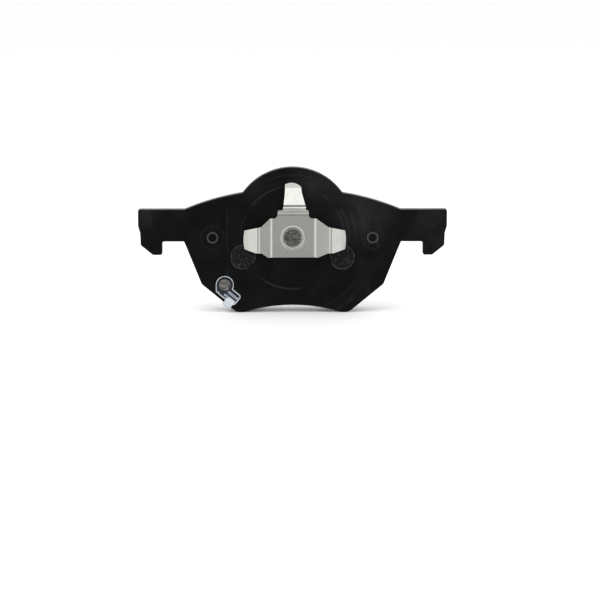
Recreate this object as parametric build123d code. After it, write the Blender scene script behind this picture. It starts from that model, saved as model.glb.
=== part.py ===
from build123d import *
import os

# Inner (piston-side) disc brake pad, in millimetres.
# X runs along the pad, +Z is radially outward (up) and +Y points towards the disc.
# The origin is where the caliper piston's axis meets the back of the plate.

# Driving dimensions: plate
PAD_WIDTH = 150.0
PLATE_T = 5.0
BULGE_TOP = 34.3
EAR_TOP = 13.8
NOTCH_TOP = -1.9
HOOK_BOTTOM = -8.5
LOBE_BOTTOM = -37.6
WAIST_BOTTOM = -33.2
DIE_ROLL = 0.6

# Driving dimensions: friction material
FILM_T = 0.2
UNDERLAYER_T = 1.7
FRICTION_T = 9.6
END_CHAMFER_START = 31.6
END_CHAMFER_DROP = 4.5
FILM_SQUEEZE = 0.7
PLUG_R = 6.4
PLUG_X = 24.2
PLUG_Z = -9.6
PLUG_RECESS = 0.35
PLUG_LAP = 0.5

# Driving dimensions: ring pips stamped in the back of the plate
PIP_X = 38.9
PIP_RING_R = 2.4
PIP_RING_W = 1.1
PIP_HEIGHT = 0.35
PIP_BORE_R = 1.8
PIP_DEPTH = 0.9

# Driving dimensions: piston clip; each finger is (first bend, ridge, tip) from the piston's axis,
# and its radii are those of the first bend, the ridge and the curl, at the middle of the sheet
CLIP_T = 0.9
LEFT_WING = (10.5, 16.6, 23.8)
RIGHT_WING = (11.0, 18.6, 25.9)
TOP_FINGER = (12.5, 15.7, 27.05)
RIDGE_HEIGHT = 5.6
TIP_HEIGHT = 2.3
TIP_CURL = 2.4
TIP_SPARE = 1.0
WING_CURL_DROP = 0.2
FINGER_CURL_DROP = 0.9
FINGER_RADII = (3.2, 1.5, 2.5)
FINGER_ROOT = 4.0
CLIP_TOP = 9.5
CLIP_BOTTOM = -9.6
CLIP_RING_R = 5.35
CLIP_RING_W = 1.5
CLIP_RING_H = 0.45

# Outlines of the clip: z on the wings, (left, right) on the top finger
WING_TIP_LOW = -5.2
WING_TIP_MIDDLE = -0.5
WING_TIP_HIGH = 3.9
WING_TIP_ROUND = 0.5
WING_RIDGE_HALF = 1.6
WING_LOW = (-6.8, -7.05)
WING_HIGH = (5.25, 6.0)
WING_LOW_START = 1.3
WING_HIGH_START = 0.5
FINGER_TIP_X = (-3.65, 4.1)
FINGER_TIP_MIDDLE = -0.3
FINGER_TIP_DROP = (0.75, 1.85)
FINGER_NECK_X = (-3.7, 4.4)
FINGER_NECK_RISE = 6.9
FINGER_RIDGE_X = (-4.45, 6.4)
FINGER_FOOT_X = (-4.8, 6.55)
FINGER_FOOT_RISE = 1.4
FINGER_SHOULDER_X = (-7.15, 7.75)
FINGER_SHOULDER_RISE = 1.1
FINGER_ROOT_X = (-7.45, 8.0)
FLAT_NECK_X = (-7.8, 8.2)
FLAT_NECK_Z = 10.3
FLAT_TOP_X = (-7.3, 7.8)
FLAT_MARGIN = 2.0
LAP = 3.0

# Driving dimensions: rivets
CLIP_RIVET_HEAD_R = 4.3
CLIP_RIVET_SHANK_R = 2.5
INDICATOR_RIVET_HEAD_R = 3.0
INDICATOR_RIVET_SHANK_R = 1.8
RIVET_HEAD_H = 1.0
RIVET_TAIL = 1.2
HEAD_ROUNDING = 0.6

# Driving dimensions: wear indicator; each rib is (start, end) past the rivet and its inset from the edge
INDICATOR_T = 0.9
INDICATOR_X = -33.0
INDICATOR_Z = -23.1
INDICATOR_HEAD_R = 4.4
INDICATOR_RIM = 0.4
INDICATOR_RIM_H = 0.3
ARM_INSET = 1.5
ARM_W = 6.4
ARM_LENGTH = 10.0
ARM_HEEL = 1.5
ARM_CORNER_R = 1.6
HEEL_R = 0.5
RIB_W = 0.8
RIB_RISE = 0.15
LONG_RIB = (3.4, 9.3, 5.4)
SHORT_RIB = (2.7, 5.6, 3.2)
TAB_W = 4.4
TAB_END = 0.8
TAB_ROOT = 3.7
TAB_GAP = 0.35
TAB_REACH = 3.0
TAB_BEND_R = 0.7

# Corners of the plate's right half, as (x, z)
EAR_X = PAD_WIDTH / 2
BULGE_CORNER = (24.15, 21.9)
SHOULDER_MIDDLE = (38.55, 18.7)
EAR_ROOT = (52.4, EAR_TOP)
EAR_CORNER = (EAR_X, EAR_TOP)
EAR_STEP_TOP = (EAR_X, 5.7)
EAR_STEP_BOTTOM = (EAR_X - 1.0, 2.2)
HOOK_SHOULDER = (EAR_X - 1.2, -3.7)
HOOK_OUTER = (EAR_X - 7.1, HOOK_BOTTOM)
HOOK_INNER = (63.4, HOOK_BOTTOM)
NOTCH_OUTER = (63.4, NOTCH_TOP)
NOTCH_INNER = (52.8, NOTCH_TOP)
FLANK_TOP = (51.9, -3.9)
FLANK_BOTTOM = (44.3, -22.9)
LOBE = (26.4, LOBE_BOTTOM)

# Radii of the plate's rounded corners
PLATE_ROUNDS = [
    (BULGE_CORNER, 1.0),
    (EAR_CORNER, 1.0),
    (HOOK_SHOULDER, 1.0),
    (HOOK_OUTER, 1.0),
    (HOOK_INNER, 0.9),
    (NOTCH_OUTER, 1.2),
    (FLANK_BOTTOM, 2.5),
    (LOBE, 7.0),
]

# Corners of the friction material's right half, as (x, z)
BLOCK_TOP = 20.9
BLOCK_SHOULDER = (54.7, 1.85)
BLOCK_FLANK_BOTTOM = (42.6, -22.6)
BLOCK_LOBE = (25.0, -35.4)
BLOCK_WAIST = -31.0
BLOCK_END_X = 51.5
BLOCK_ROUNDS = [(BLOCK_SHOULDER, 11.5), (BLOCK_FLANK_BOTTOM, 3.0), (BLOCK_LOBE, 6.5)]

FILM_FRONT = PLATE_T + FILM_T
UNDERLAYER_FRONT = FILM_FRONT + UNDERLAYER_T
FACE_Y = UNDERLAYER_FRONT + FRICTION_T


def slab(outline, back_y, front_y):
    """Makes a plate of an outline drawn in x and z, from back_y to front_y."""
    return extrude(Plane.XZ.offset(-front_y) * outline, front_y - back_y)


def disc(x, z, radius, back_y, front_y):
    """Makes a round slab about an axis along Y."""
    return slab(Pos(x, z) * Circle(radius), back_y, front_y)


def cone_disc(x, z, back_r, front_r, back_y, front_y):
    """Makes a tapered round slab about an axis along Y."""
    place = Plane(origin=(x, back_y, z), z_dir=(0, 1, 0))
    return loft([place * Circle(back_r), place.offset(front_y - back_y) * Circle(front_r)])


def mirrored_face(half, *spans):
    """Closes a chain of edges in x >= 0 with its mirror image and the spans that cross x = 0."""
    edges = list(half.edges()) + [edge.mirror(Plane.YZ) for edge in half.edges()]
    return make_face(edges + list(spans))


def span(corner, middle_z):
    """Draws the arc that joins a corner to its mirror image and passes middle_z at x = 0."""
    return ThreePointArc((-corner[0], corner[1]), (0, middle_z), corner)


def round_corners(face, corners):
    """Rounds each listed corner (x, z), radius and its mirror image."""
    for (x, z), radius in corners:
        for side in (-1, 1):
            corner = face.vertices().sort_by_distance((side * x, z, 0))[0]
            face = fillet(corner, radius)
    return face


def plate_outline():
    """Draws the blanked outline: piston bulge, ears with hooks, notches, flanks and two lobes."""
    with BuildLine() as half:
        ThreePointArc(BULGE_CORNER, SHOULDER_MIDDLE, EAR_ROOT)
        Polyline(
            EAR_ROOT,
            EAR_CORNER,
            EAR_STEP_TOP,
            EAR_STEP_BOTTOM,
            HOOK_SHOULDER,
            HOOK_OUTER,
            HOOK_INNER,
            NOTCH_OUTER,
            NOTCH_INNER,
            FLANK_TOP,
            FLANK_BOTTOM,
            LOBE,
        )
    outline = mirrored_face(half.line, span(BULGE_CORNER, BULGE_TOP), span(LOBE, WAIST_BOTTOM))
    return round_corners(outline, PLATE_ROUNDS)


def block_outline():
    """Draws the friction material's outline, inside the plate's."""
    half = Polyline(BLOCK_SHOULDER, BLOCK_FLANK_BOTTOM, BLOCK_LOBE)
    outline = mirrored_face(half, span(BLOCK_SHOULDER, BLOCK_TOP), span(BLOCK_LOBE, BLOCK_WAIST))
    return round_corners(outline, BLOCK_ROUNDS)


def indicator_place():
    """Gives the plane whose x runs down the left slanted edge and whose y points out across it."""
    start = Vector(-FLANK_BOTTOM[0], 0, FLANK_BOTTOM[1])
    end = Vector(-LOBE[0], 0, LOBE[1])
    along = (end - start).normalized()
    return Plane(origin=start, x_dir=along, z_dir=(0, 1, 0))


def plate_holes():
    """Makes the cutters of the plug holes, the two rivet holes and the bores of the pips."""
    cutters = []
    for side in (-1, 1):
        cutters.append(disc(side * PLUG_X, PLUG_Z, PLUG_R, 0, PLATE_T))
        cutters.append(disc(side * PIP_X, 0, PIP_BORE_R, -PIP_HEIGHT, PIP_DEPTH))
    rivets = [
        (0, 0, CLIP_RIVET_SHANK_R),
        (INDICATOR_X, INDICATOR_Z, INDICATOR_RIVET_SHANK_R),
    ]
    for x, z, radius in rivets:
        cutters.append(disc(x, z, radius, 0, PLATE_T))
        sink_back = PLATE_T - RIVET_TAIL
        cutters.append(cone_disc(x, z, radius, radius + RIVET_TAIL, sink_back, PLATE_T))
    return cutters


def bead_ring(x, z, radius, width, height, base_y):
    """Makes a raised bead round an axis along Y, standing height off the surface at base_y."""
    ring = revolve(Plane.XY * Pos(radius, 0) * Ellipse(width / 2, height), Axis.Y)
    ring &= disc(0, 0, radius + width, -height, height / 2)
    return Pos(x, base_y, z) * ring


def backing_plate():
    """Builds the steel plate with its rounded back edge, holes and raised ring pips."""
    plate = slab(plate_outline(), 0, PLATE_T)
    back_face = plate.faces().sort_by(Axis.Y)[0]
    plate = fillet(back_face.outer_wire().edges(), DIE_ROLL)
    for side in (-1, 1):
        plate += bead_ring(side * PIP_X, 0, PIP_RING_R, PIP_RING_W, PIP_HEIGHT, 0)
    for cutter in plate_holes():
        plate -= cutter
    return plate


def bond_film():
    """Builds the adhesive film, squeezed out round the friction material."""
    outline = offset(block_outline(), FILM_SQUEEZE, kind=Kind.ARC)
    film = slab(outline, PLATE_T, FILM_FRONT)
    for side in (-1, 1):
        film -= disc(side * PLUG_X, PLUG_Z, PLUG_R, PLATE_T, FILM_FRONT)
    return film


def underlayer():
    """Builds the underlayer with the two plugs that fill the plate's holes."""
    layer = slab(block_outline(), FILM_FRONT, UNDERLAYER_FRONT)
    for side in (-1, 1):
        layer += disc(side * PLUG_X, PLUG_Z, PLUG_R, PLUG_RECESS, FILM_FRONT + PLUG_LAP)
    return layer


def friction_block():
    """Builds the friction material and cuts its two end chamfers."""
    block = slab(block_outline(), UNDERLAYER_FRONT, FACE_Y)
    end_x = BLOCK_END_X
    slope = END_CHAMFER_DROP / (end_x - END_CHAMFER_START)
    reach = 5.0
    half_height = 50.0
    with BuildSketch() as wedge:
        with BuildLine():
            Polyline(
                (END_CHAMFER_START - reach, FACE_Y + slope * reach),
                (end_x + reach, FACE_Y - END_CHAMFER_DROP - slope * reach),
                (end_x + reach, FACE_Y + slope * reach),
                close=True,
            )
        make_face()
    cutter = extrude(wedge.sketch, half_height, both=True)
    return block - cutter - cutter.mirror(Plane.YZ)


def bent_strip(points):
    """Bends a wide sheet along points (distance, height)."""
    half_width = 15.0
    path = FilletPolyline(*points, radius=FINGER_RADII)
    return extrude(trace(path, CLIP_T), half_width, both=True)


def trimmed(strip, outline):
    """Cuts a bent strip to its outline, drawn as seen from the back."""
    beyond_ridge = 2 * RIDGE_HEIGHT
    return strip & slab(outline, -beyond_ridge, CLIP_T)


def finger_path(bend_r, ridge_r, tip_r, curl_drop):
    """Lists the middle of the sheet from the flat, over the ridge and down to the tip.

    The curl takes the tip curl_drop nearer to the plate than a straight finger's.
    """
    level = CLIP_T / 2
    fall = (RIDGE_HEIGHT - TIP_HEIGHT) / (tip_r - ridge_r)
    curl_r = tip_r - TIP_CURL
    return [
        (bend_r - FINGER_ROOT, level),
        (bend_r, level),
        (ridge_r, RIDGE_HEIGHT),
        (curl_r, RIDGE_HEIGHT - fall * (curl_r - ridge_r)),
        (tip_r + TIP_SPARE, TIP_HEIGHT - fall * TIP_SPARE - curl_drop),
    ]


def wing_outline(bend_r, ridge_r, tip_r):
    """Draws a wing of the clip on the right, from the flat to the tip."""
    tip_x = tip_r - WING_TIP_ROUND
    tip_low = (tip_x, WING_TIP_LOW)
    tip_high = (tip_x, WING_TIP_HIGH)
    with BuildSketch() as outline:
        with BuildLine():
            Polyline(
                tip_low,
                (ridge_r + WING_RIDGE_HALF, WING_LOW[0]),
                (ridge_r - WING_RIDGE_HALF, WING_LOW[1]),
                (bend_r + WING_LOW_START, CLIP_BOTTOM),
                (bend_r - LAP, CLIP_BOTTOM),
                (bend_r - LAP, CLIP_TOP),
                (bend_r + WING_HIGH_START, CLIP_TOP),
                (ridge_r - WING_RIDGE_HALF, WING_HIGH[1]),
                (ridge_r + WING_RIDGE_HALF, WING_HIGH[0]),
                tip_high,
            )
            ThreePointArc(tip_high, (tip_r, WING_TIP_MIDDLE), tip_low)
        make_face()
    return outline.sketch


def finger_outline(bend_z, ridge_z, tip_z):
    """Draws the top finger, from the flat to its rounded tip; its right edge slants more."""
    levels = [
        (FINGER_NECK_X, ridge_z + FINGER_NECK_RISE),
        (FINGER_RIDGE_X, ridge_z),
        (FINGER_FOOT_X, bend_z + FINGER_FOOT_RISE),
        (FINGER_SHOULDER_X, bend_z + FINGER_SHOULDER_RISE),
        (FINGER_ROOT_X, bend_z - LAP),
    ]
    sides = []
    for end, tip_x, tip_drop in zip((0, 1), FINGER_TIP_X, FINGER_TIP_DROP):
        corner = (tip_x, tip_z - tip_drop)
        sides.append([corner] + [(ends[end], z) for ends, z in levels])
    left, right = sides
    with BuildSketch() as outline:
        with BuildLine():
            ThreePointArc(left[0], (FINGER_TIP_MIDDLE, tip_z), right[0])
            Polyline(*right, *reversed(left))
        make_face()
    return outline.sketch


def clip_flat_outline():
    """Draws the flat middle of the clip that lies on the plate."""
    left = FLAT_MARGIN - LEFT_WING[0]
    right = RIGHT_WING[0] - FLAT_MARGIN
    top = TOP_FINGER[0] - FLAT_MARGIN
    corners = [
        (left, CLIP_BOTTOM),
        (right, CLIP_BOTTOM),
        (right, CLIP_TOP),
        (FLAT_NECK_X[1], FLAT_NECK_Z),
        (FLAT_TOP_X[1], top),
        (FLAT_TOP_X[0], top),
        (FLAT_NECK_X[0], FLAT_NECK_Z),
        (left, CLIP_TOP),
    ]
    return make_face(Polyline(*corners, close=True))


def wing(bend_r, ridge_r, tip_r):
    """Builds a wing of the clip on the right."""
    strip = bent_strip(finger_path(bend_r, ridge_r, tip_r, WING_CURL_DROP)).mirror(Plane.XZ)
    return trimmed(strip, wing_outline(bend_r, ridge_r, tip_r))


def top_finger():
    """Builds the top finger of the clip."""
    strip = bent_strip(finger_path(*TOP_FINGER, FINGER_CURL_DROP)).mirror(Plane.XZ).rotate(Axis.Y, -90)
    return trimmed(strip, finger_outline(*TOP_FINGER))


def piston_clip():
    """Builds the three-finger sheet spring with the embossed ring round its rivet."""
    clip = slab(clip_flat_outline(), -CLIP_T, 0)
    clip += wing(*RIGHT_WING)
    clip += wing(*LEFT_WING).mirror(Plane.YZ)
    clip += top_finger()
    clip += bead_ring(0, 0, CLIP_RING_R, CLIP_RING_W, CLIP_RING_H, -CLIP_T)
    return clip - disc(0, 0, CLIP_RIVET_SHANK_R, -2 * CLIP_T, 0)


def rivet(x, z, head_r, shank_r, sheet_t):
    """Builds a rivet with a low head on the sheet and a flush tail in the plate's countersink."""
    head = disc(x, z, head_r, -sheet_t - RIVET_HEAD_H, -sheet_t)
    top = head.faces().sort_by(Axis.Y)[0]
    head = fillet(top.edges(), RIVET_HEAD_H * HEAD_ROUNDING)
    shank = disc(x, z, shank_r, -sheet_t, PLATE_T)
    tail = cone_disc(x, z, shank_r, shank_r + RIVET_TAIL, PLATE_T - RIVET_TAIL, PLATE_T)
    return head + shank + tail


def arm_outline(rivet_at, inset):
    """Draws the indicator's keyhole outline in its own plane, shrunk by inset."""
    arm_y = -ARM_INSET - ARM_W / 2
    arm = Pos(rivet_at.X + ARM_LENGTH / 2, arm_y) * Rectangle(ARM_LENGTH, ARM_W)
    ends = arm.vertices().group_by(Axis.X)[-1]
    arm = fillet(ends, ARM_CORNER_R)
    head = Pos(rivet_at.X, rivet_at.Y) * Circle(INDICATOR_HEAD_R)
    heel = Pos(rivet_at.X - ARM_HEEL + HEEL_R, -ARM_INSET - HEEL_R) * Circle(HEEL_R)
    keyhole = make_hull(head.edges() + heel.edges()) + arm
    if inset:
        keyhole = offset(keyhole, -inset, kind=Kind.ARC)
    return keyhole


def indicator_tab(place, middle_x):
    """Builds the tab: out across the plate's edge and then along it towards the disc."""
    level = -INDICATOR_T / 2
    outside = TAB_GAP + INDICATOR_T / 2
    middle = place.from_local_coords(Vector(middle_x, 0, 0))
    section = Plane(origin=middle, x_dir=place.y_dir, z_dir=place.x_dir)
    path = FilletPolyline(
        (-TAB_ROOT, level),
        (outside, level),
        (outside, PLATE_T + TAB_REACH),
        radius=TAB_BEND_R,
    )
    return extrude(section * trace(path, INDICATOR_T), TAB_W / 2, both=True)


def wear_indicator():
    """Builds the indicator: a keyhole with a raised rim and ribs, and a tab round the plate's edge."""
    place = indicator_place()
    rivet_at = place.to_local_coords(Vector(INDICATOR_X, 0, INDICATOR_Z))
    body = extrude(place * arm_outline(rivet_at, 0), -INDICATOR_T)
    body -= extrude(place.offset(-INDICATOR_T) * arm_outline(rivet_at, INDICATOR_RIM), INDICATOR_RIM_H)
    for start, end, inset in (LONG_RIB, SHORT_RIB):
        rib = Pos(rivet_at.X + (start + end) / 2, -inset) * SlotOverall(end - start, RIB_W)
        body += extrude(place.offset(-INDICATOR_T - RIB_RISE) * rib, INDICATOR_T)
    body += indicator_tab(place, rivet_at.X + ARM_LENGTH - TAB_END - TAB_W / 2)
    return body - disc(INDICATOR_X, INDICATOR_Z, INDICATOR_RIVET_SHANK_R, -2 * INDICATOR_T, 0)


def build():
    """Builds every piece by its node name."""
    return {
        "backing_plate": backing_plate(),
        "bond_film": bond_film(),
        "underlayer": underlayer(),
        "friction_block": friction_block(),
        "piston_clip": piston_clip(),
        "clip_rivet": rivet(0, 0, CLIP_RIVET_HEAD_R, CLIP_RIVET_SHANK_R, CLIP_T),
        "wear_indicator": wear_indicator(),
        "indicator_rivet": rivet(
            INDICATOR_X,
            INDICATOR_Z,
            INDICATOR_RIVET_HEAD_R,
            INDICATOR_RIVET_SHANK_R,
            INDICATOR_T - INDICATOR_RIM_H,
        ),
    }


os.makedirs("parts", exist_ok=True)
for node, shape in build().items():
    export_step(shape, f"parts/{node}.step")
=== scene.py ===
import math

import bmesh
import bpy
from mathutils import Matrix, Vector, noise


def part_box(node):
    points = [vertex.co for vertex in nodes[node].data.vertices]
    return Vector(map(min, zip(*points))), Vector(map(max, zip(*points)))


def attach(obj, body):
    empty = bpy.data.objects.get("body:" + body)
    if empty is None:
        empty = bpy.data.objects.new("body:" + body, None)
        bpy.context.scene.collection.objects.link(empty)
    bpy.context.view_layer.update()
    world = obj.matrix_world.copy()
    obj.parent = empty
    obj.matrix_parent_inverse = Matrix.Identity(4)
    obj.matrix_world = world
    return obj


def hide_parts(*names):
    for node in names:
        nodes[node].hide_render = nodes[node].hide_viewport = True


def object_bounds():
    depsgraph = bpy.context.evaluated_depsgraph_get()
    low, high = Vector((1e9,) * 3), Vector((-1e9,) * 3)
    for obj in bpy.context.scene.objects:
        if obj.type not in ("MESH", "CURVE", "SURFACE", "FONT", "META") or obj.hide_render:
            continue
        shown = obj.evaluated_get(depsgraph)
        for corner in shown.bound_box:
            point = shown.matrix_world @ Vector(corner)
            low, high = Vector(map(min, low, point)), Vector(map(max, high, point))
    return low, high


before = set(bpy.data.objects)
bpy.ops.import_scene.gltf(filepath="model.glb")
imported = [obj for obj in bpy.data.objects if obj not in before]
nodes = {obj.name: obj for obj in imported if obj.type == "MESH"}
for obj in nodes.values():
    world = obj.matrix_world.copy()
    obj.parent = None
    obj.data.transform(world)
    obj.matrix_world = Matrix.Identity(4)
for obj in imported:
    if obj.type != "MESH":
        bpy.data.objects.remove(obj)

MM = 0.001
cad_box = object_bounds()

# The view: the camera faces the pad's back, a touch from the left and above. Angles are in degrees, and
# the distance and AIM are in metres.
VIEW_AZIMUTH = -0.5
VIEW_ELEVATION = 9.5
VIEW_DISTANCE = 1.1
VIEW_WIDTH = 293.3 * MM
AIM = Vector((3.85 * MM, 0.0, -30.95 * MM))
SENSOR = 36.0

# The world's strength: everywhere, more at slanting directions, and more in a band above the pad.
WORLD_BASE = 0.5
WORLD_SLANTING = 0.74
WORLD_HIGH = 0.7

# Slanting directions, by their share along Y: off the pad's ends, which keep a little, and off its faces.
OFF_ENDS = (0.44, 0.55)
OFF_FACES = (0.975, 0.92)
ENDS_KEEP = 0.17

# The band above the pad, by a direction's share along Z: its lower and its upper edge.
HIGH_FROM = (0.2, 0.4)
HIGH_TO = (0.6, 0.44)
ZENITH_KEEPS = 0.05

# The floor's half width in metres, and the tones that the metal mirrors of it, at reaches in millimetres.
FLOOR_HALF = 12.0
NEAR_REACH = (62.0, 48.0)
NEAR_TONE = 0.9
BEYOND_REACH = (110.0, 160.0)
BEYOND_TONES = (0.16, 0.42)
SLANTING_TONE = 0.98

# Mesh distances in metres.
WELD = 1e-7
SLIVER = 2e-6

# Mesh sizes in millimetres.
PLATE_EASE = 0.14
CLIP_EASE = 0.13
BLOCK_VOXEL = 0.45
LAYER_VOXEL = 0.45
RIVET_VOXEL = 0.16
INDICATOR_VOXEL = 0.1

# Mesh angles in degrees: faces that count as one flat face, edges that are eased, and shading creases.
FLAT_ANGLE = 0.4
SHARP_ANGLE = 40.0
CREASE = 35.0
SOFT_CREASE = 80.0

# The adhesive bead: its step and its root under the friction material in millimetres, points per section.
BEAD_STEP = 0.5
BEAD_ROOT = 1.0
BEAD_SIDES = 8

# The friction block's foot, in millimetres: the band that is moved and how far it goes into the underlayer.
FOOT_BAND = 0.8
FOOT_DEPTH = 0.5

# A vertex lies on a flat face, or on a rivet head's top, if its normal's share along Y is above this.
ON_FACE = 0.7
ON_HEAD = 0.6

# Places on the pad in millimetres: the friction plugs with a clear distance round each, the ring pips, the
# clip rivet on the piston's axis, and the heights at which the upper finger's riser starts and ends.
PLUG_X = 24.2
PLUG_Z = -9.6
PLUG_CLEAR = 7.0
PIP_X = 38.9
CLIP_RIVET_AXIS = (0.0, 0.0)
RISER_START = (12.6, 13.2)
RISER_END = (16.0, 15.6)

# Places on the pad in metres, worked out from the frame.
block_low, block_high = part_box("friction_block")
rivet_low, rivet_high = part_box("indicator_rivet")
FLOOR_Z = cad_box[0].z
PLATE_FRONT_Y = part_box("backing_plate")[1].y
INDICATOR_AXIS = ((rivet_low.x + rivet_high.x) / 2, (rivet_low.z + rivet_high.z) / 2)


# ---------------------------------------------------------------- shader helpers

def material(name):
    """Makes an empty node material and gives its tree and its surface shader."""
    made = bpy.data.materials.new(name)
    made.use_nodes = True
    return made, made.node_tree, made.node_tree.nodes["Principled BSDF"]


def add(tree, kind, inputs=None, **settings):
    """Adds a node, sets its properties, and sets or links its inputs."""
    made = tree.nodes.new(kind)
    for name, value in settings.items():
        setattr(made, name, value)
    for key, value in (inputs or {}).items():
        plug(tree, made.inputs[key], value)
    return made


def plug(tree, socket, value):
    """Links a socket to another one, or sets its constant."""
    if isinstance(value, bpy.types.NodeSocket):
        tree.links.new(value, socket)
    else:
        socket.default_value = value


def grey(level):
    """Gives a neutral colour."""
    return (level, level, level, 1.0)


def place(tree, scale=(1.0, 1.0, 1.0)):
    """Gives the object's own coordinates in millimetres, stretched by scale."""
    coords = add(tree, "ShaderNodeTexCoord").outputs["Object"]
    factor = tuple(value / MM for value in scale)
    return add(tree, "ShaderNodeMapping", {"Vector": coords, "Scale": factor}).outputs["Vector"]


def axes(tree):
    """Gives the object's x, y and z in millimetres."""
    split = add(tree, "ShaderNodeSeparateXYZ", {"Vector": place(tree)})
    return split.outputs["X"], split.outputs["Y"], split.outputs["Z"]


def facing_along_y(tree, normal="True Normal"):
    """Gives the surface's normal along Y: -1 on the pad's back, 1 on its front."""
    facing = add(tree, "ShaderNodeNewGeometry").outputs[normal]
    return add(tree, "ShaderNodeSeparateXYZ", {"Vector": facing}).outputs["Y"]


def cloud(tree, vector, scale, detail, roughness=0.55):
    """Gives fractal noise from 0 to 1; scale is in cells per millimetre."""
    inputs = {"Vector": vector, "Scale": scale, "Detail": detail, "Roughness": roughness}
    return add(tree, "ShaderNodeTexNoise", inputs).outputs["Fac"]


def ramp(tree, value, low, high, out_low=0.0, out_high=1.0):
    """Maps value smoothly from low..high to out_low..out_high."""
    inputs = {
        "Value": value,
        "From Min": low,
        "From Max": high,
        "To Min": out_low,
        "To Max": out_high,
    }
    made = add(tree, "ShaderNodeMapRange", inputs, interpolation_type="SMOOTHSTEP")
    return made.outputs["Result"]


def calculate(tree, operation, first, second=0.0):
    """Adds one step of arithmetic."""
    made = add(tree, "ShaderNodeMath", {0: first, 1: second}, operation=operation)
    return made.outputs["Value"]


def times(tree, first, second):
    """Multiplies two numbers."""
    return calculate(tree, "MULTIPLY", first, second)


def mix(tree, kind, first_input, output, factor, first, second):
    """Mixes two values of a kind, whose two inputs follow each other on the node."""
    made = add(tree, "ShaderNodeMix", {"Factor": factor}, data_type=kind)
    plug(tree, made.inputs[first_input], first)
    plug(tree, made.inputs[first_input + 1], second)
    return made.outputs[output]


def blend(tree, factor, first, second):
    """Mixes two colours."""
    return mix(tree, "RGBA", 6, 2, factor, first, second)


def blend_value(tree, factor, first, second):
    """Mixes two numbers."""
    return mix(tree, "FLOAT", 2, 0, factor, first, second)


def blend_normal(tree, factor, first, second):
    """Mixes two normals."""
    return mix(tree, "VECTOR", 4, 1, factor, first, second)


def bump(tree, height, distance, strength):
    """Adds relief; distance is in millimetres."""
    inputs = {"Height": height, "Distance": distance * MM, "Strength": strength}
    return add(tree, "ShaderNodeBump", inputs).outputs["Normal"]


def distance_from(tree, x, z, centre_x, centre_z):
    """Gives the distance in millimetres from an axis along Y."""
    dx = calculate(tree, "SUBTRACT", x, centre_x)
    dz = calculate(tree, "SUBTRACT", z, centre_z)
    squares = calculate(tree, "ADD", times(tree, dx, dx), times(tree, dz, dz))
    return calculate(tree, "SQRT", squares)


def distance_from_pair(tree, x, z, centre_x, centre_z):
    """Gives the distance in millimetres from the nearer of an axis along Y and its mirror image."""
    return distance_from(tree, calculate(tree, "ABSOLUTE", x), z, centre_x, centre_z)


def line_mask(tree, value, centre, half_width):
    """Gives 1 on a thin line where value is at centre, and 0 away from it."""
    off = calculate(tree, "ABSOLUTE", calculate(tree, "SUBTRACT", value, centre))
    return ramp(tree, off, half_width, 0.0)


def slanting(tree, facing):
    """Gives 1 for directions well off the pad's faces and ends; facing is a direction's share along Y."""
    off_ends = ramp(tree, facing, *OFF_ENDS, ENDS_KEEP, 1.0)
    off_faces = ramp(tree, facing, *OFF_FACES)
    return times(tree, off_ends, off_faces)


# ---------------------------------------------------------------- the plate's material

PAINT_DARK = (0.0014, 0.0015, 0.0015, 1)
PAINT_PALE = (0.004, 0.0042, 0.0043, 1)
# The next colour is partly dust and partly a painted highlight on the upper part and ears.
PAINT_DUST_AND_HIGHLIGHT = (0.017, 0.018, 0.0185, 1)
# The next colour serves the rub marks and also the painted highlight on the upper edges.
PAINT_RUB_AND_HIGHLIGHT = (0.022, 0.0235, 0.026, 1)
# The next colour is a painted highlight, laid on the pips' rims.
PAINT_PIP_HIGHLIGHT = (0.075, 0.077, 0.08, 1)
EDGE_DARK = (0.1, 0.098, 0.09, 1)
EDGE_PALE = (0.29, 0.286, 0.272, 1)
TORN_DARK = grey(0.05)
TORN_PALE = grey(0.19)
BLAST_DARK = (0.34, 0.34, 0.332, 1)
BLAST_PALE = (0.6, 0.6, 0.59, 1)

# Zones on the painted back, all on its upper part and ears, partly dust and partly a painted highlight where
# the upper part is lit more: centre (x, z) and reach in millimetres, and strength.
DUST_AND_HIGHLIGHT_ZONES = [
    ((34.0, 13.0), 24.0, 0.75),
    ((12.0, 27.0), 20.0, 0.6),
    ((-20.0, 27.0), 16.0, 0.35),
    ((-70.0, 11.0), 9.0, 0.6),
    ((68.0, 6.0), 18.0, 0.5),
]

# Rub marks on the painted back, as rings about the piston's axis: radius, half width and strength.
WHOLE_RING = (25.2, 0.8, 0.7)
UPPER_RIGHT_RINGS = [(27.4, 1.6, 0.45), (30.5, 0.7, 0.5), (35.0, 1.4, 0.4)]
LOWER_RIGHT_RINGS = [(41.5, 1.5, 0.45), (37.0, 0.7, 0.3)]

# Upright rub marks: x, half width and strength.
COLUMNS = [(-31.8, 1.0, 0.3), (36.9, 1.0, 0.3)]

# Marks about each pip: the rub mark's and the painted rim highlight's radius, half width and strength.
PIP_RUB = (5.6, 0.6, 0.25)
PIP_RIM_HIGHLIGHT = (2.4, 0.6, 0.8)


def mark(tree, value, shape):
    """Gives a line's mask times its strength; shape is (centre, half width, strength)."""
    centre, half_width, strength = shape
    return times(tree, line_mask(tree, value, centre, half_width), strength)


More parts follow.
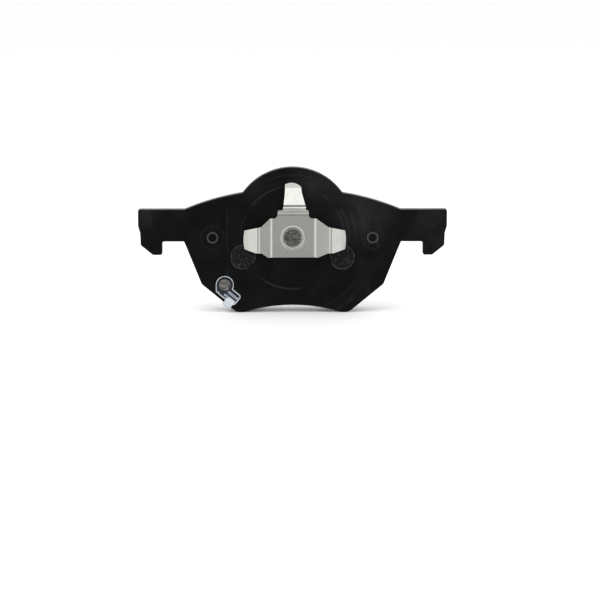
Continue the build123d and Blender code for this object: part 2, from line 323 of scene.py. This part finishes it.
def rub_marks(tree, x, z, everywhere):
    """Gives the rub marks of the painted back, broken up by fine noise."""
    radius = distance_from(tree, x, z, 0.0, 0.0)
    upper_right = ramp(tree, calculate(tree, "ADD", x, z), 5.0, 30.0)
    lower_right = ramp(tree, calculate(tree, "SUBTRACT", x, z), 34.0, 44.0)
    rub = mark(tree, radius, WHOLE_RING)
    for zone, rings in ((upper_right, UPPER_RIGHT_RINGS), (lower_right, LOWER_RIGHT_RINGS)):
        for ring in rings:
            rub = calculate(tree, "ADD", rub, times(tree, mark(tree, radius, ring), zone))
    for column in COLUMNS:
        rub = calculate(tree, "ADD", rub, mark(tree, x, column))
    broken = ramp(tree, cloud(tree, everywhere, 0.07, 3.0), 0.4, 0.6)
    return times(tree, rub, broken)


def plate_paint(tree, x, z, everywhere, facing_y):
    """Gives the paint's colour: faint mottling, zones that are partly dust and partly painted highlight, rub
    marks, a painted highlight on the upper edges, painted highlights on the pip rims.
    """
    mottle = cloud(tree, everywhere, 0.1, 5.0, 0.6)
    paint = blend(tree, ramp(tree, mottle, 0.35, 0.7), PAINT_DARK, PAINT_PALE)
    # Partly dust, partly painted highlight: the upper part and the ears are drawn lighter.
    for centre, reach, strength in DUST_AND_HIGHLIGHT_ZONES:
        near = ramp(tree, distance_from(tree, x, z, *centre), reach, 0.0)
        patchy = times(tree, near, ramp(tree, mottle, 0.3, 0.6, 0.4, 1.0))
        paint = blend(tree, times(tree, patchy, strength), paint, PAINT_DUST_AND_HIGHLIGHT)
    from_pip = distance_from_pair(tree, x, z, PIP_X, 0.0)
    rub = calculate(tree, "ADD", rub_marks(tree, x, z, everywhere), mark(tree, from_pip, PIP_RUB))
    paint = blend(tree, rub, paint, PAINT_RUB_AND_HIGHLIGHT)
    # Painted highlight: a bright line on each pip's rim, standing in for the light its bevel catches.
    paint = blend(tree, mark(tree, from_pip, PIP_RIM_HIGHLIGHT), paint, PAINT_PIP_HIGHLIGHT)
    # Painted highlight: the eased edges on the upper half are drawn lighter, where they catch the light from
    # above.
    upper_edge_highlight = times(tree, ramp(tree, facing_y, -0.97, -0.85), ramp(tree, z, -6.0, 6.0))
    return blend(tree, times(tree, upper_edge_highlight, 0.7), paint, PAINT_RUB_AND_HIGHLIGHT)


def ragged_depth(tree, y, everywhere):
    """Gives the depth from the plate's back in millimetres, with a wander that makes its zones ragged."""
    wander = cloud(tree, everywhere, 0.9, 5.0)
    return calculate(tree, "ADD", y, ramp(tree, wander, 0.3, 0.7, -0.45, 0.45))


def bare_share(tree, x, z, depth, facing_y):
    """Gives 1 where the plate is bare: past the painted edge's ragged line, but not in the pips."""
    in_pips = ramp(tree, distance_from_pair(tree, x, z, PIP_X, 0.0), 2.5, 2.0)
    painted = calculate(tree, "MAXIMUM", in_pips, ramp(tree, facing_y, -0.6, -0.8))
    unpainted = calculate(tree, "SUBTRACT", 1.0, painted)
    return times(tree, ramp(tree, depth, 0.75, 1.15), unpainted)


def plate_material():
    """Black satin paint on the back, bare blanked steel at the edge, blasted steel in front."""
    made, tree, shader = material("plate_black_paint")
    x, y, z = axes(tree)
    everywhere = place(tree)
    facing_y = facing_along_y(tree)
    depth = ragged_depth(tree, y, everywhere)
    bare = bare_share(tree, x, z, depth, facing_y)
    front = ramp(tree, facing_y, 0.55, 0.8)
    paint = plate_paint(tree, x, z, everywhere, facing_y)
    grime = cloud(tree, everywhere, 1.4, 6.0, 0.7)
    paint_rough = ramp(tree, grime, 0.3, 0.75, 0.36, 0.52)

    # Blanked edge: burnished near the back, torn in front, with streaks along the punch's travel.
    streaks = cloud(tree, place(tree, (1.0, 0.12, 1.0)), 2.6, 6.0, 0.65)
    torn = ramp(tree, depth, 2.0, 2.8)
    patch = cloud(tree, everywhere, 0.35, 4.0)
    edge = blend(tree, streaks, EDGE_DARK, EDGE_PALE)
    edge = blend(tree, times(tree, torn, 0.6), edge, blend(tree, patch, TORN_DARK, TORN_PALE))
    edge_rough = blend_value(tree, torn, 0.38, 0.6)

    # Blasted front: fine grey grain.
    grain = cloud(tree, everywhere, 5.5, 3.0, 0.7)
    blast = blend(tree, grain, BLAST_DARK, BLAST_PALE)

    metal_color = blend(tree, front, edge, blast)
    metal_rough = blend_value(tree, front, edge_rough, 0.62)
    metal_normal = blend_normal(tree, front, bump(tree, streaks, 0.16, 0.9), bump(tree, grain, 0.07, 0.9))
    peel = cloud(tree, everywhere, 1.1, 3.0)
    normal = blend_normal(tree, bare, bump(tree, peel, 0.04, 0.5), metal_normal)
    plug(tree, shader.inputs["Base Color"], blend(tree, bare, paint, metal_color))
    plug(tree, shader.inputs["Roughness"], blend_value(tree, bare, paint_rough, metal_rough))
    plug(tree, shader.inputs["Metallic"], times(tree, bare, 0.85))
    plug(tree, shader.inputs["Normal"], normal)
    shader.inputs["Specular IOR Level"].default_value = 0.07
    return made


# ---------------------------------------------------------------- the other materials

BLOCK_DARK = (0.19, 0.19, 0.178, 1)
BLOCK_PALE = (0.235, 0.235, 0.222, 1)
SPECK_DARK = (0.055, 0.054, 0.05, 1)
SPECK_PALE = (0.45, 0.45, 0.43, 1)
SPECK_FINE = grey(0.12)
# The next colour darkens the end chamfers.
CHAMFER_DARKER = (0.115, 0.115, 0.11, 1)
SIDE_DARK = (0.07, 0.078, 0.075, 1)
SIDE_PALE = (0.2, 0.21, 0.205, 1)
LAYER_DARK = (0.06, 0.067, 0.064, 1)
LAYER_PALE = (0.18, 0.19, 0.185, 1)
PLUG_DARK = (0.004, 0.004, 0.0044, 1)
PLUG_PALE = (0.042, 0.044, 0.046, 1)
# The next colour is a painted highlight on the plugs' rims.
PLUG_RIM_HIGHLIGHT = (0.055, 0.057, 0.06, 1)
ADHESIVE_DARK = (0.012, 0.012, 0.011, 1)
ADHESIVE_PALE = (0.06, 0.058, 0.052, 1)
CLIP_DARK = (0.48, 0.488, 0.456, 1)
CLIP_PALE = (0.51, 0.518, 0.492, 1)
# The next colour is a painted highlight, laid on the upper finger's riser.
CLIP_RISER_HIGHLIGHT = (0.84, 0.85, 0.81, 1)
CLIP_STAINED = (0.37, 0.365, 0.325, 1)
CLIP_RIVET_DARK = (0.034, 0.034, 0.031, 1)
CLIP_RIVET_PALE = (0.18, 0.18, 0.17, 1)
INDICATOR_RIVET_DARK = (0.06, 0.06, 0.056, 1)
INDICATOR_RIVET_PALE = (0.24, 0.24, 0.225, 1)
ZINC_DARK = (0.5, 0.55, 0.6, 1)
ZINC_PALE = (0.72, 0.75, 0.78, 1)
ZINC_RIB = (0.24, 0.28, 0.34, 1)
# The next two colours are a painted dark reflection, laid on the sunk field.
ZINC_REFLECTION_DARK = (0.01, 0.012, 0.017, 1)
ZINC_REFLECTION_PALE = (0.04, 0.048, 0.062, 1)

# How the moulded sides' layers are stretched: long round the pad, short through its thickness.
MOULDED = (0.35, 1.2, 0.35)


def friction_material():
    """Speckled friction compound: coarse on the face, smoother on the end chamfers, bluish on the side."""
    made, tree, shader = material("friction_compound")
    everywhere = place(tree)
    facing_y = facing_along_y(tree)
    face = ramp(tree, facing_y, 0.6, 0.9)
    flat = ramp(tree, facing_y, 0.985, 0.996)
    broad = cloud(tree, everywhere, 0.05, 3.0)
    speck = cloud(tree, everywhere, 1.5, 3.0, 0.75)
    fine = cloud(tree, everywhere, 4.5, 2.0, 0.6)
    layers = cloud(tree, place(tree, MOULDED), 0.6, 5.0, 0.6)
    on_face = blend(tree, broad, BLOCK_DARK, BLOCK_PALE)
    on_face = blend(tree, ramp(tree, speck, 0.47, 0.36), on_face, SPECK_DARK)
    on_face = blend(tree, ramp(tree, speck, 0.58, 0.7), on_face, SPECK_PALE)
    on_face = blend(tree, times(tree, ramp(tree, fine, 0.4, 0.7), 0.35), on_face, SPECK_FINE)
    # The end chamfers are drawn darker and with less speckle than the face.
    on_chamfer = blend(tree, 0.6, on_face, CHAMFER_DARKER)
    on_side = blend(tree, layers, SIDE_DARK, SIDE_PALE)
    color = blend(tree, face, on_side, blend(tree, flat, on_chamfer, on_face))
    plug(tree, shader.inputs["Base Color"], color)
    plug(tree, shader.inputs["Normal"], bump(tree, speck, 0.22, 0.8))
    shader.inputs["Roughness"].default_value = 0.78
    return made


def underlayer_material():
    """Dark moulded underlayer; the plugs' ends carry the black paint of the back, with a painted highlight
    round each plug's rim.
    """
    made, tree, shader = material("underlayer_compound")
    x, y, z = axes(tree)
    speck = cloud(tree, place(tree), 1.3, 4.0, 0.7)
    layers = cloud(tree, place(tree, MOULDED), 0.7, 5.0, 0.6)
    body = blend(tree, layers, LAYER_DARK, LAYER_PALE)
    painted = ramp(tree, y, 2.5, 2.0)
    paint = blend(tree, ramp(tree, speck, 0.5, 0.68), PLUG_DARK, PLUG_PALE)
    from_plug = distance_from_pair(tree, x, z, PLUG_X, PLUG_Z)
    # Painted highlight: a light broken line round each plug's rim, standing in for the light its bevel
    # catches.
    rim = times(tree, line_mask(tree, from_plug, 6.05, 0.7), ramp(tree, layers, 0.36, 0.54))
    paint = blend(tree, rim, paint, PLUG_RIM_HIGHLIGHT)
    plug(tree, shader.inputs["Base Color"], blend(tree, painted, body, paint))
    plug(tree, shader.inputs["Roughness"], blend_value(tree, painted, 0.8, 0.55))
    plug(tree, shader.inputs["Normal"], bump(tree, speck, 0.25, 0.9))
    shader.inputs["Specular IOR Level"].default_value = 0.1
    return made


def adhesive_material():
    """Dark cured adhesive with a slight gloss."""
    made, tree, shader = material("bond_adhesive")
    patch = cloud(tree, place(tree), 0.8, 4.0, 0.6)
    plug(tree, shader.inputs["Base Color"], blend(tree, patch, ADHESIVE_DARK, ADHESIVE_PALE))
    plug(tree, shader.inputs["Roughness"], ramp(tree, patch, 0.3, 0.7, 0.35, 0.6))
    plug(tree, shader.inputs["Normal"], bump(tree, patch, 0.12, 0.8))
    return made


def clip_material():
    """Bright rolled spring steel: fine roll lines, light stains, a painted highlight on the upper finger's
    riser.
    """
    made, tree, shader = material("clip_spring_steel")
    _, _, z = axes(tree)
    rolled = cloud(tree, place(tree, (0.06, 1.0, 1.6)), 3.0, 5.0, 0.7)
    patch = cloud(tree, place(tree), 0.25, 4.0, 0.6)
    # Painted highlight: the upper finger's riser is drawn brighter, standing in for the light it catches.
    riser_highlight = times(tree, ramp(tree, z, *RISER_START), ramp(tree, z, *RISER_END))
    tone = blend(tree, rolled, CLIP_DARK, CLIP_PALE)
    tone = blend(tree, riser_highlight, tone, CLIP_RISER_HIGHLIGHT)
    tone = blend(tree, ramp(tree, patch, 0.5, 0.8, 0.0, 0.3), tone, CLIP_STAINED)
    plug(tree, shader.inputs["Base Color"], tone)
    plug(tree, shader.inputs["Roughness"], ramp(tree, patch, 0.3, 0.7, 0.14, 0.2))
    plug(tree, shader.inputs["Normal"], bump(tree, rolled, 0.002, 0.3))
    shader.inputs["Metallic"].default_value = 1.0
    return made


def rivet_material(name, dark, pale):
    """Rough upset steel: blotched, pitted and dull."""
    made, tree, shader = material(name)
    blotch = cloud(tree, place(tree), 0.7, 6.0, 0.7)
    pits = cloud(tree, place(tree), 2.2, 5.0, 0.75)
    tone = blend(tree, ramp(tree, blotch, 0.38, 0.62), dark, pale)
    tone = blend(tree, ramp(tree, pits, 0.48, 0.36), tone, dark)
    plug(tree, shader.inputs["Base Color"], tone)
    plug(tree, shader.inputs["Roughness"], ramp(tree, pits, 0.35, 0.65, 0.65, 0.45))
    plug(tree, shader.inputs["Normal"], bump(tree, pits, 0.2, 1.0))
    shader.inputs["Metallic"].default_value = 0.8
    return made


def indicator_material():
    """Bluish zinc plate: bright on the rolled rim, duller on the ribs, with a painted dark reflection on the
    sunk field.
    """
    made, tree, shader = material("indicator_zinc_plate")
    _, y, _ = axes(tree)
    patch = cloud(tree, place(tree), 0.6, 4.0, 0.6)
    square_on = ramp(tree, facing_along_y(tree, "Normal"), -0.9, -0.97)
    ribs = times(tree, ramp(tree, y, -0.95, -1.0), square_on)
    sunk = times(tree, ramp(tree, y, -0.76, -0.66), square_on)
    zinc = blend(tree, patch, ZINC_DARK, ZINC_PALE)
    zinc = blend(tree, ribs, zinc, ZINC_RIB)
    # Painted reflection: the sunk field is drawn near black, standing in for the dark surroundings its
    # mirror-like face reflects.
    sunk_reflection = blend(tree, patch, ZINC_REFLECTION_DARK, ZINC_REFLECTION_PALE)
    plug(tree, shader.inputs["Base Color"], blend(tree, sunk, zinc, sunk_reflection))
    plug(tree, shader.inputs["Roughness"], ramp(tree, patch, 0.3, 0.7, 0.1, 0.2))
    plug(tree, shader.inputs["Normal"], bump(tree, patch, 0.03, 0.4))
    shader.inputs["Metallic"].default_value = 1.0
    return made


def floor_material():
    """Plain pale floor; what the metal mirrors of it is darker away from the pad, except slantwise."""
    made, tree, shader = material("pale_floor")
    x, y, _ = axes(tree)
    tone = cloud(tree, place(tree), 0.03, 4.0)
    away = distance_from(tree, x, y, 0.0, 0.0)
    beyond = ramp(tree, away, *BEYOND_REACH, *BEYOND_TONES)
    near = blend_value(tree, ramp(tree, away, *NEAR_REACH), beyond, NEAR_TONE)
    facing = calculate(tree, "DIVIDE", calculate(tree, "ABSOLUTE", y), away)
    mirrored = blend_value(tree, slanting(tree, facing), near, SLANTING_TONE)
    seen = add(tree, "ShaderNodeLightPath").outputs["Is Camera Ray"]
    pale = blend(tree, tone, grey(0.94), grey(0.97))
    plug(tree, shader.inputs["Base Color"], blend(tree, seen, mirrored, pale))
    shader.inputs["Roughness"].default_value = 0.7
    return made


# ---------------------------------------------------------------- stage, light and camera

def make_stage():
    """Lays the floor under the pad."""
    mesh = bpy.data.meshes.new("floor")
    signs = ((-1, -1), (1, -1), (1, 1), (-1, 1))
    corners = [(x * FLOOR_HALF, y * FLOOR_HALF, FLOOR_Z) for x, y in signs]
    mesh.from_pydata(corners, [], [(0, 1, 2, 3)])
    mesh.materials.append(floor_material())
    floor = bpy.data.objects.new("floor", mesh)
    bpy.context.scene.collection.objects.link(floor)


def make_world():
    """Surrounds the pad with soft white light, weaker square on to its faces and towards its ends."""
    world = bpy.data.worlds.new("studio")
    world.use_nodes = True
    bpy.context.scene.world = world
    tree = world.node_tree
    background = tree.nodes["Background"]
    direction = add(tree, "ShaderNodeTexCoord").outputs["Generated"]
    split = add(tree, "ShaderNodeSeparateXYZ", {"Vector": direction})
    facing = calculate(tree, "ABSOLUTE", split.outputs["Y"])
    height = split.outputs["Z"]
    high = times(tree, ramp(tree, height, *HIGH_FROM), ramp(tree, height, *HIGH_TO, ZENITH_KEEPS, 1.0))
    strength = times(tree, slanting(tree, facing), WORLD_SLANTING)
    strength = calculate(tree, "ADD", strength, times(tree, high, WORLD_HIGH))
    strength = calculate(tree, "ADD", strength, WORLD_BASE)
    seen = add(tree, "ShaderNodeLightPath").outputs["Is Camera Ray"]
    plug(tree, background.inputs["Strength"], blend_value(tree, seen, strength, 1.0))
    background.inputs["Color"].default_value = grey(1.0)


def area_light(name, location, size, power):
    """Adds a soft square light aimed at the pad, which the metal doesn't mirror."""
    light = bpy.data.lights.new(name, "AREA")
    light.shape = "SQUARE"
    light.size = size
    light.energy = power
    holder = bpy.data.objects.new(name, light)
    holder.location = location
    holder.rotation_mode = "QUATERNION"
    holder.rotation_quaternion = (-Vector(location)).to_track_quat("-Z", "Y")
    holder.visible_glossy = False
    bpy.context.scene.collection.objects.link(holder)


def make_camera():
    """Sets the camera at its angles from the point it aims at."""
    azimuth = math.radians(VIEW_AZIMUTH)
    elevation = math.radians(VIEW_ELEVATION)
    back = Vector((
        math.sin(azimuth) * math.cos(elevation),
        -math.cos(azimuth) * math.cos(elevation),
        math.sin(elevation),
    ))
    camera = bpy.data.cameras.new("camera")
    camera.sensor_width = SENSOR
    camera.lens = SENSOR * VIEW_DISTANCE / VIEW_WIDTH
    holder = bpy.data.objects.new("camera", camera)
    holder.location = AIM + back * VIEW_DISTANCE
    holder.rotation_mode = "QUATERNION"
    holder.rotation_quaternion = (-back).to_track_quat("-Z", "Y")
    bpy.context.scene.collection.objects.link(holder)
    bpy.context.scene.camera = holder


# ---------------------------------------------------------------- mesh helpers

def welded(node):
    """Copies a CAD node's surface into a fresh bmesh with its flat faces whole."""
    source = nodes[node].data
    graph = bmesh.new()
    points = [graph.verts.new(vertex.co) for vertex in source.vertices]
    for polygon in source.polygons:
        graph.faces.new([points[index] for index in polygon.vertices])
    bmesh.ops.remove_doubles(graph, verts=graph.verts, dist=WELD)
    bmesh.ops.dissolve_degenerate(graph, edges=graph.edges, dist=WELD)
    return graph


def finished(graph, name, node, made, crease=SOFT_CREASE):
    """Turns a bmesh into the visible piece that stands for a CAD node."""
    bmesh.ops.recalc_face_normals(graph, faces=graph.faces)
    mesh = bpy.data.meshes.new(name)
    graph.to_mesh(mesh)
    graph.free()
    mesh.materials.append(made)
    mesh.shade_smooth()
    mesh.set_sharp_from_angle(angle=math.radians(crease))
    piece = bpy.data.objects.new(name, mesh)
    bpy.context.scene.collection.objects.link(piece)
    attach(piece, "root")
    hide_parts(node)
    return piece


def eased_piece(name, node, made, width):
    """Keeps a CAD node's shape and breaks its sharp edges by width, in millimetres."""
    graph = welded(node)
    flat = math.radians(FLAT_ANGLE)
    bmesh.ops.dissolve_limit(graph, angle_limit=flat, verts=graph.verts, edges=graph.edges)
    sharp_angle = math.radians(SHARP_ANGLE)
    sharp = [edge for edge in graph.edges if edge.calc_face_angle(0.0) > sharp_angle]
    bmesh.ops.bevel(
        graph,
        geom=sharp,
        offset=width * MM,
        offset_type="OFFSET",
        segments=2,
        profile=0.5,
        affect="EDGES",
        clamp_overlap=True,
    )
    bmesh.ops.remove_doubles(graph, verts=graph.verts, dist=SLIVER)
    bmesh.ops.dissolve_degenerate(graph, edges=graph.edges, dist=SLIVER)
    piece = finished(graph, name, node, made, CREASE)
    even = piece.modifiers.new("even_normals", "WEIGHTED_NORMAL")
    even.keep_sharp = True


def remeshed(node, voxel, rounds):
    """Gives a CAD node's surface as an even mesh, smoothed in rounds; voxel is in millimetres."""
    mesh = bpy.data.meshes.new("remesh_source")
    graph = welded(node)
    graph.to_mesh(mesh)
    graph.free()
    holder = bpy.data.objects.new("remesh_source", mesh)
    bpy.context.scene.collection.objects.link(holder)
    remesh = holder.modifiers.new("remesh", "REMESH")
    remesh.mode = "VOXEL"
    remesh.voxel_size = voxel * MM
    depsgraph = bpy.context.evaluated_depsgraph_get()
    result = bpy.data.meshes.new_from_object(holder.evaluated_get(depsgraph))
    bpy.data.objects.remove(holder)
    bpy.data.meshes.remove(mesh)
    graph = bmesh.new()
    graph.from_mesh(result)
    bpy.data.meshes.remove(result)
    for _ in range(rounds):
        bmesh.ops.smooth_vert(
            graph, verts=graph.verts, factor=0.5, use_axis_x=True, use_axis_y=True, use_axis_z=True
        )
    graph.normal_update()
    return graph


def waves(point, lengths, seed):
    """Gives fractal noise from about -1 to 1; lengths holds the wavelength along each axis in millimetres."""
    increment = 0.6
    lacunarity = 2.0
    octaves = 4
    spot = Vector([along / MM / length for along, length in zip(point, lengths)])
    shift = Vector((seed, seed * 0.7, -seed))
    return noise.fractal(spot + shift, increment, lacunarity, octaves)


def sink(graph, depth_at):
    """Moves each vertex inward along its normal by depth_at(vertex), in millimetres."""
    moves = [(vertex, vertex.normal * -depth_at(vertex) * MM) for vertex in graph.verts]
    for vertex, move in moves:
        vertex.co += move


# ---------------------------------------------------------------- the object

def torn_side(vertex):
    """Gives how deep the moulded side is torn at a vertex, in millimetres."""
    deepest = 0.8
    broad = 0.24 + 0.3 * waves(vertex.co, (9.0, 2.6, 9.0), 11.0)
    chips = 0.22 * max(0.0, waves(vertex.co, (3.0, 1.4, 3.0), 23.0))
    return min(deepest, max(0.0, broad + chips))


def friction_piece():
    """Shapes the friction block: torn wavy sides, pitted face, worn edges, a foot set in the underlayer."""
    graph = remeshed("friction_block", BLOCK_VOXEL, 2)

    def depth_at(vertex):
        if vertex.normal.y > ON_FACE:
            pits = max(0.0, waves(vertex.co, (2.2, 2.2, 2.2), 3.0) - 0.25)
            return 0.02 + 0.16 * pits
        return torn_side(vertex)

    sink(graph, depth_at)
    for vertex in graph.verts:
        if vertex.co.y < block_low.y + FOOT_BAND * MM:
            vertex.co.y -= FOOT_DEPTH * MM
    finished(graph, "friction_block_rough", "friction_block", friction_material())


def underlayer_piece():
    """Shapes the underlayer with its torn side and the rough ends of its plugs."""
    graph = remeshed("underlayer", LAYER_VOXEL, 1)

    def depth_at(vertex):
        if vertex.normal.y < -ON_FACE and vertex.co.y < PLATE_FRONT_Y / 2:
            return 0.1 + 0.16 * waves(vertex.co, (1.7, 1.7, 1.7), 5.0)
        if abs(vertex.normal.y) < ON_FACE:
            return torn_side(vertex)
        return 0.0

    sink(graph, depth_at)
    finished(graph, "underlayer_rough", "underlayer", underlayer_material())


def film_outline():
    """Gives the film's outer outline as (x, z) points in order round the pad."""
    centre = Vector((0.0, (block_low.z + block_high.z) / 2))
    plugs = [Vector((side * PLUG_X * MM, PLUG_Z * MM)) for side in (-1, 1)]
    found = {}
    for vertex in nodes["bond_film"].data.vertices:
        spot = Vector((vertex.co.x, vertex.co.z))
        if min((spot - middle).length for middle in plugs) > PLUG_CLEAR * MM:
            found[(round(spot.x, 6), round(spot.y, 6))] = spot
    return sorted(found.values(), key=lambda spot: math.atan2(spot.y - centre.y, spot.x - centre.x))


def resampled(outline, step):
    """Walks round a closed outline in equal steps of about step metres."""
    count = len(outline)
    lengths = [(outline[(i + 1) % count] - outline[i]).length for i in range(count)]
    total = sum(lengths)
    steps = round(total / step)
    walked = []
    index = 0
    start = 0.0
    for number in range(steps):
        target = total * number / steps
        while start + lengths[index] < target:
            start += lengths[index]
            index += 1
        share = (target - start) / lengths[index]
        walked.append(outline[index].lerp(outline[(index + 1) % count], share))
    return walked


def bead_section(graph, spot, outward):
    """Adds the points of the bead's section at a spot of the outline, from its root round to its top."""
    at = Vector((spot.x, PLATE_FRONT_Y, spot.y))
    reach = min(0.0, -0.2 + 0.45 * waves(at, (2.4, 1.0, 2.4), 7.0))
    height = 0.5 + 0.3 * waves(at, (3.5, 1.0, 3.5), 19.0)
    section = []
    for turn in range(BEAD_SIDES):
        angle = math.pi * turn / (BEAD_SIDES - 1)
        out = -BEAD_ROOT + (BEAD_ROOT + reach) * math.sin(angle)
        rise = height * (1.0 - math.cos(angle)) / 2.0
        point = spot + outward * out * MM
        section.append(graph.verts.new((point.x, PLATE_FRONT_Y + rise * MM, point.y)))
    return section


def film_piece():
    """Shapes the adhesive as a ragged bead squeezed out round the underlayer's foot."""
    spots = resampled(film_outline(), BEAD_STEP * MM)
    count = len(spots)
    graph = bmesh.new()
    sections = []
    for index, spot in enumerate(spots):
        along = spots[(index + 1) % count] - spots[index - 1]
        outward = Vector((along.y, -along.x)).normalized()
        sections.append(bead_section(graph, spot, outward))
    for index in range(count):
        first = sections[index]
        second = sections[(index + 1) % count]
        for turn in range(BEAD_SIDES):
            after = (turn + 1) % BEAD_SIDES
            graph.faces.new((first[turn], first[after], second[after], second[turn]))
    finished(graph, "bond_film_bead", "bond_film", adhesive_material())


def indicator_piece():
    """Rolls the indicator's pressed edges."""
    graph = remeshed("wear_indicator", INDICATOR_VOXEL, 6)
    finished(graph, "wear_indicator_rolled", "wear_indicator", indicator_material())


def rivet_piece(node, made, centre, head_radius, dish, roughness, seed):
    """Shapes a rivet: upset head with a shallow dish, a ring mark and a rough skin; sizes in millimetres."""
    graph = remeshed(node, RIVET_VOXEL, 2)
    ring_radius = 0.62 * head_radius
    ring_width = 0.28
    ring_depth = 0.12

    def depth_at(vertex):
        if vertex.co.y > 0:
            return 0.0
        skin = roughness * (0.8 + waves(vertex.co, (1.5, 1.5, 1.5), seed))
        if vertex.normal.y >= -ON_HEAD:
            return max(0.0, 2.2 * skin)
        from_axis = math.hypot(vertex.co.x - centre[0], vertex.co.z - centre[1]) / MM
        share = min(1.0, from_axis / head_radius)
        hollow = dish * (1.0 - share * share)
        ring = ring_depth * math.exp(-((from_axis - ring_radius) / ring_width) ** 2)
        return max(0.0, hollow + skin + ring)

    sink(graph, depth_at)
    finished(graph, node + "_upset", node, made)


make_stage()
make_world()
area_light("top_softbox", location=(-0.15, -0.25, 1.0), size=0.9, power=5.0)
make_camera()
bpy.context.scene.view_settings.view_transform = "Standard"

eased_piece("backing_plate_eased", "backing_plate", plate_material(), PLATE_EASE)
friction_piece()
underlayer_piece()
film_piece()
eased_piece("piston_clip_eased", "piston_clip", clip_material(), CLIP_EASE)
rivet_piece(
    "clip_rivet",
    rivet_material("clip_rivet_steel", CLIP_RIVET_DARK, CLIP_RIVET_PALE),
    CLIP_RIVET_AXIS,
    head_radius=4.3,
    dish=0.35,
    roughness=0.1,
    seed=2.0,
)
rivet_piece(
    "indicator_rivet",
    rivet_material("indicator_rivet_steel", INDICATOR_RIVET_DARK, INDICATOR_RIVET_PALE),
    INDICATOR_AXIS,
    head_radius=3.0,
    dish=0.12,
    roughness=0.05,
    seed=9.0,
)
indicator_piece()
